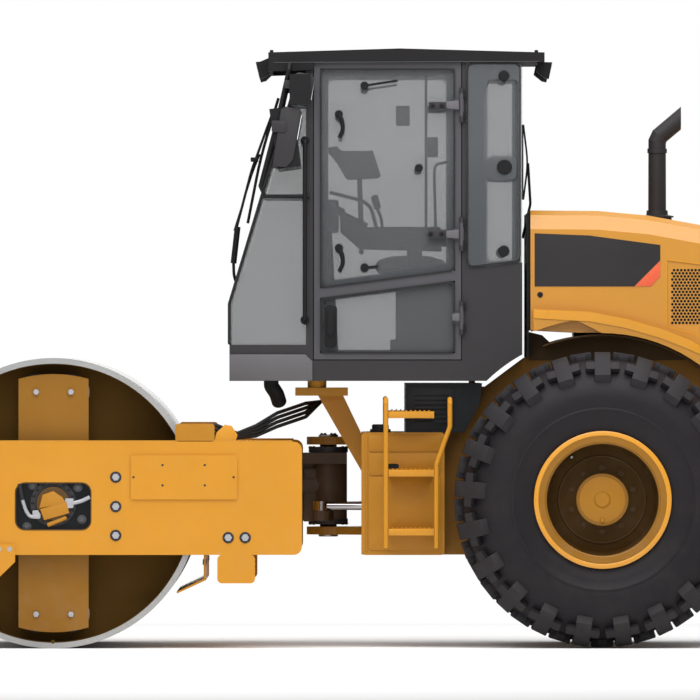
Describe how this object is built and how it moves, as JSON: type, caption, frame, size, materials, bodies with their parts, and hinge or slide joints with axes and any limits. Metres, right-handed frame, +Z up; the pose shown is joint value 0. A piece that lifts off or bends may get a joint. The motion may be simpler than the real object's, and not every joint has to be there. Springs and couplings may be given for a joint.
{
  "type": "vibratory soil compactor",
  "caption": "Articulated single-drum vibratory soil compactor with a closed cab, a tilting rear hood, lugged rear tyres, opening doors and an oscillating hitch.",
  "frame": {"origin": "centre of the whole machine's box, on the floor under the drum and the tyres", "axes": "+Z up, -X towards the drum end, -Y towards the machine's left side"},
  "size_m": [5.86, 2.3, 3.174],
  "materials": {
    "machine_yellow": "satin machine yellow",
    "cab_grey": "satin dark grey",
    "chassis_dark": "dark satin",
    "drum_steel": "rolled steel, worn bright",
    "rod_chrome": "polished",
    "rubber": "matt",
    "tyre_rubber": "matt",
    "black_plastic": "textured",
    "cab_glass": "clear, slightly smoked",
    "seat_cloth": "woven",
    "exhaust_black": "heat-proof matt black"
  },
  "bodies": {
    "rear": {"rear_frame": "machine_yellow", "counterweight": "machine_yellow", "rear_axle": "chassis_dark", "side_tanks": "machine_yellow", "cab_mast": "machine_yellow", "battery_boxes": "black_plastic", "ladders": "machine_yellow", "cab_base": "cab_grey", "cab_posts": "cab_grey", "cab_roof": "cab_grey", "windscreen": "cab_glass", "cab_glass": "cab_glass", "seat_base": "black_plastic", "seat_pads": "seat_cloth", "console": "black_plastic", "mirrors": "black_plastic", "work_lights": "black_plastic", "engine_block": "chassis_dark", "radiator": "black_plastic", "fire_wall": "black_plastic", "tie_down_rear": "machine_yellow", "hoses": "rubber"},
    "hitch": {"hitch_casting": "chassis_dark"},
    "front": {"side_plates": "machine_yellow", "front_beam": "machine_yellow", "rear_beam": "machine_yellow", "drum_motors": "machine_yellow", "rear_scraper": "black_plastic", "front_scraper": "machine_yellow", "hose_guards": "machine_yellow", "tie_down_front": "machine_yellow"},
    "drum": {"drum_shell": "drum_steel", "drive_plates": "machine_yellow", "rubber_mounts": "rubber"},
    "wheel_left": {"tyre_left": "tyre_rubber", "rim_left": "machine_yellow"},
    "wheel_right": {"tyre_right": "tyre_rubber", "rim_right": "machine_yellow"},
    "door_left": {"door_left": "cab_grey", "door_glass_left": "cab_glass"},
    "door_right": {"door_right": "cab_grey", "door_glass_right": "cab_glass"},
    "hood": {"hood": "machine_yellow", "hood_grilles": "black_plastic", "exhaust": "exhaust_black"},
    "steer_barrel_left": {"steer_barrel_left": "machine_yellow"},
    "steer_rod_left": {"steer_rod_left": "rod_chrome"},
    "steer_barrel_right": {"steer_barrel_right": "machine_yellow"},
    "steer_rod_right": {"steer_rod_right": "rod_chrome"}
  },
  "joints": [
    {"name": "articulation", "type": "hinge", "parent": "rear", "child": "hitch", "pos_m": [-0.507, 0, 0.852], "axis": [0, 0, 1], "range_deg": [-34, 34], "deforming": ["hoses"]},
    {"name": "oscillation", "type": "hinge", "parent": "hitch", "child": "front", "pos_m": [-0.507, 0, 0.852], "axis": [1, 0, 0], "range_deg": [-15, 15]},
    {"name": "drum_roll", "type": "hinge", "parent": "front", "child": "drum", "pos_m": [-1.957, 0, 0.767], "axis": [0, 1, 0], "continuous": true},
    {"name": "wheel_left_roll", "type": "hinge", "parent": "rear", "child": "wheel_left", "pos_m": [0.943, -0.84, 0.785], "axis": [0, 1, 0], "continuous": true},
    {"name": "wheel_right_roll", "type": "hinge", "parent": "rear", "child": "wheel_right", "pos_m": [0.943, 0.84, 0.785], "axis": [0, 1, 0], "continuous": true},
    {"name": "door_left_swing", "type": "hinge", "parent": "rear", "child": "door_left", "pos_m": [0.201, -0.76, 2.3], "axis": [0, 0, 1], "range_deg": [0, 110]},
    {"name": "door_right_swing", "type": "hinge", "parent": "rear", "child": "door_right", "pos_m": [0.201, 0.76, 2.3], "axis": [0, 0, -1], "range_deg": [0, 110]},
    {"name": "hood_tilt", "type": "hinge", "parent": "rear", "child": "hood", "pos_m": [2.81, 0, 1.42], "axis": [0, 1, 0], "range_deg": [0, 45]},
    {"name": "steer_swing_left", "type": "hinge", "parent": "rear", "child": "steer_barrel_left", "pos_m": [0.12, -0.31, 0.745], "axis": [0, 0, 1], "range_deg": [-6, 6]},
    {"name": "steer_stroke_left", "type": "slide", "parent": "steer_barrel_left", "child": "steer_rod_left", "axis": [-0.9867, 0.1627, 0], "range_m": [-0.15, 0.15]},
    {"name": "steer_swing_right", "type": "hinge", "parent": "rear", "child": "steer_barrel_right", "pos_m": [0.12, 0.31, 0.745], "axis": [0, 0, 1], "range_deg": [-6, 6]},
    {"name": "steer_stroke_right", "type": "slide", "parent": "steer_barrel_right", "child": "steer_rod_right", "axis": [-0.9867, -0.1627, 0], "range_m": [-0.15, 0.15]}
  ],
  "couplings": [
    {"joint": "steer_swing_left", "follows": "articulation", "ratio": -0.0052},
    {"joint": "steer_stroke_left", "follows": "articulation", "m_per_rad": -0.1922},
    {"joint": "steer_swing_right", "follows": "articulation", "ratio": -0.0052},
    {"joint": "steer_stroke_right", "follows": "articulation", "m_per_rad": 0.1922}
  ]
}
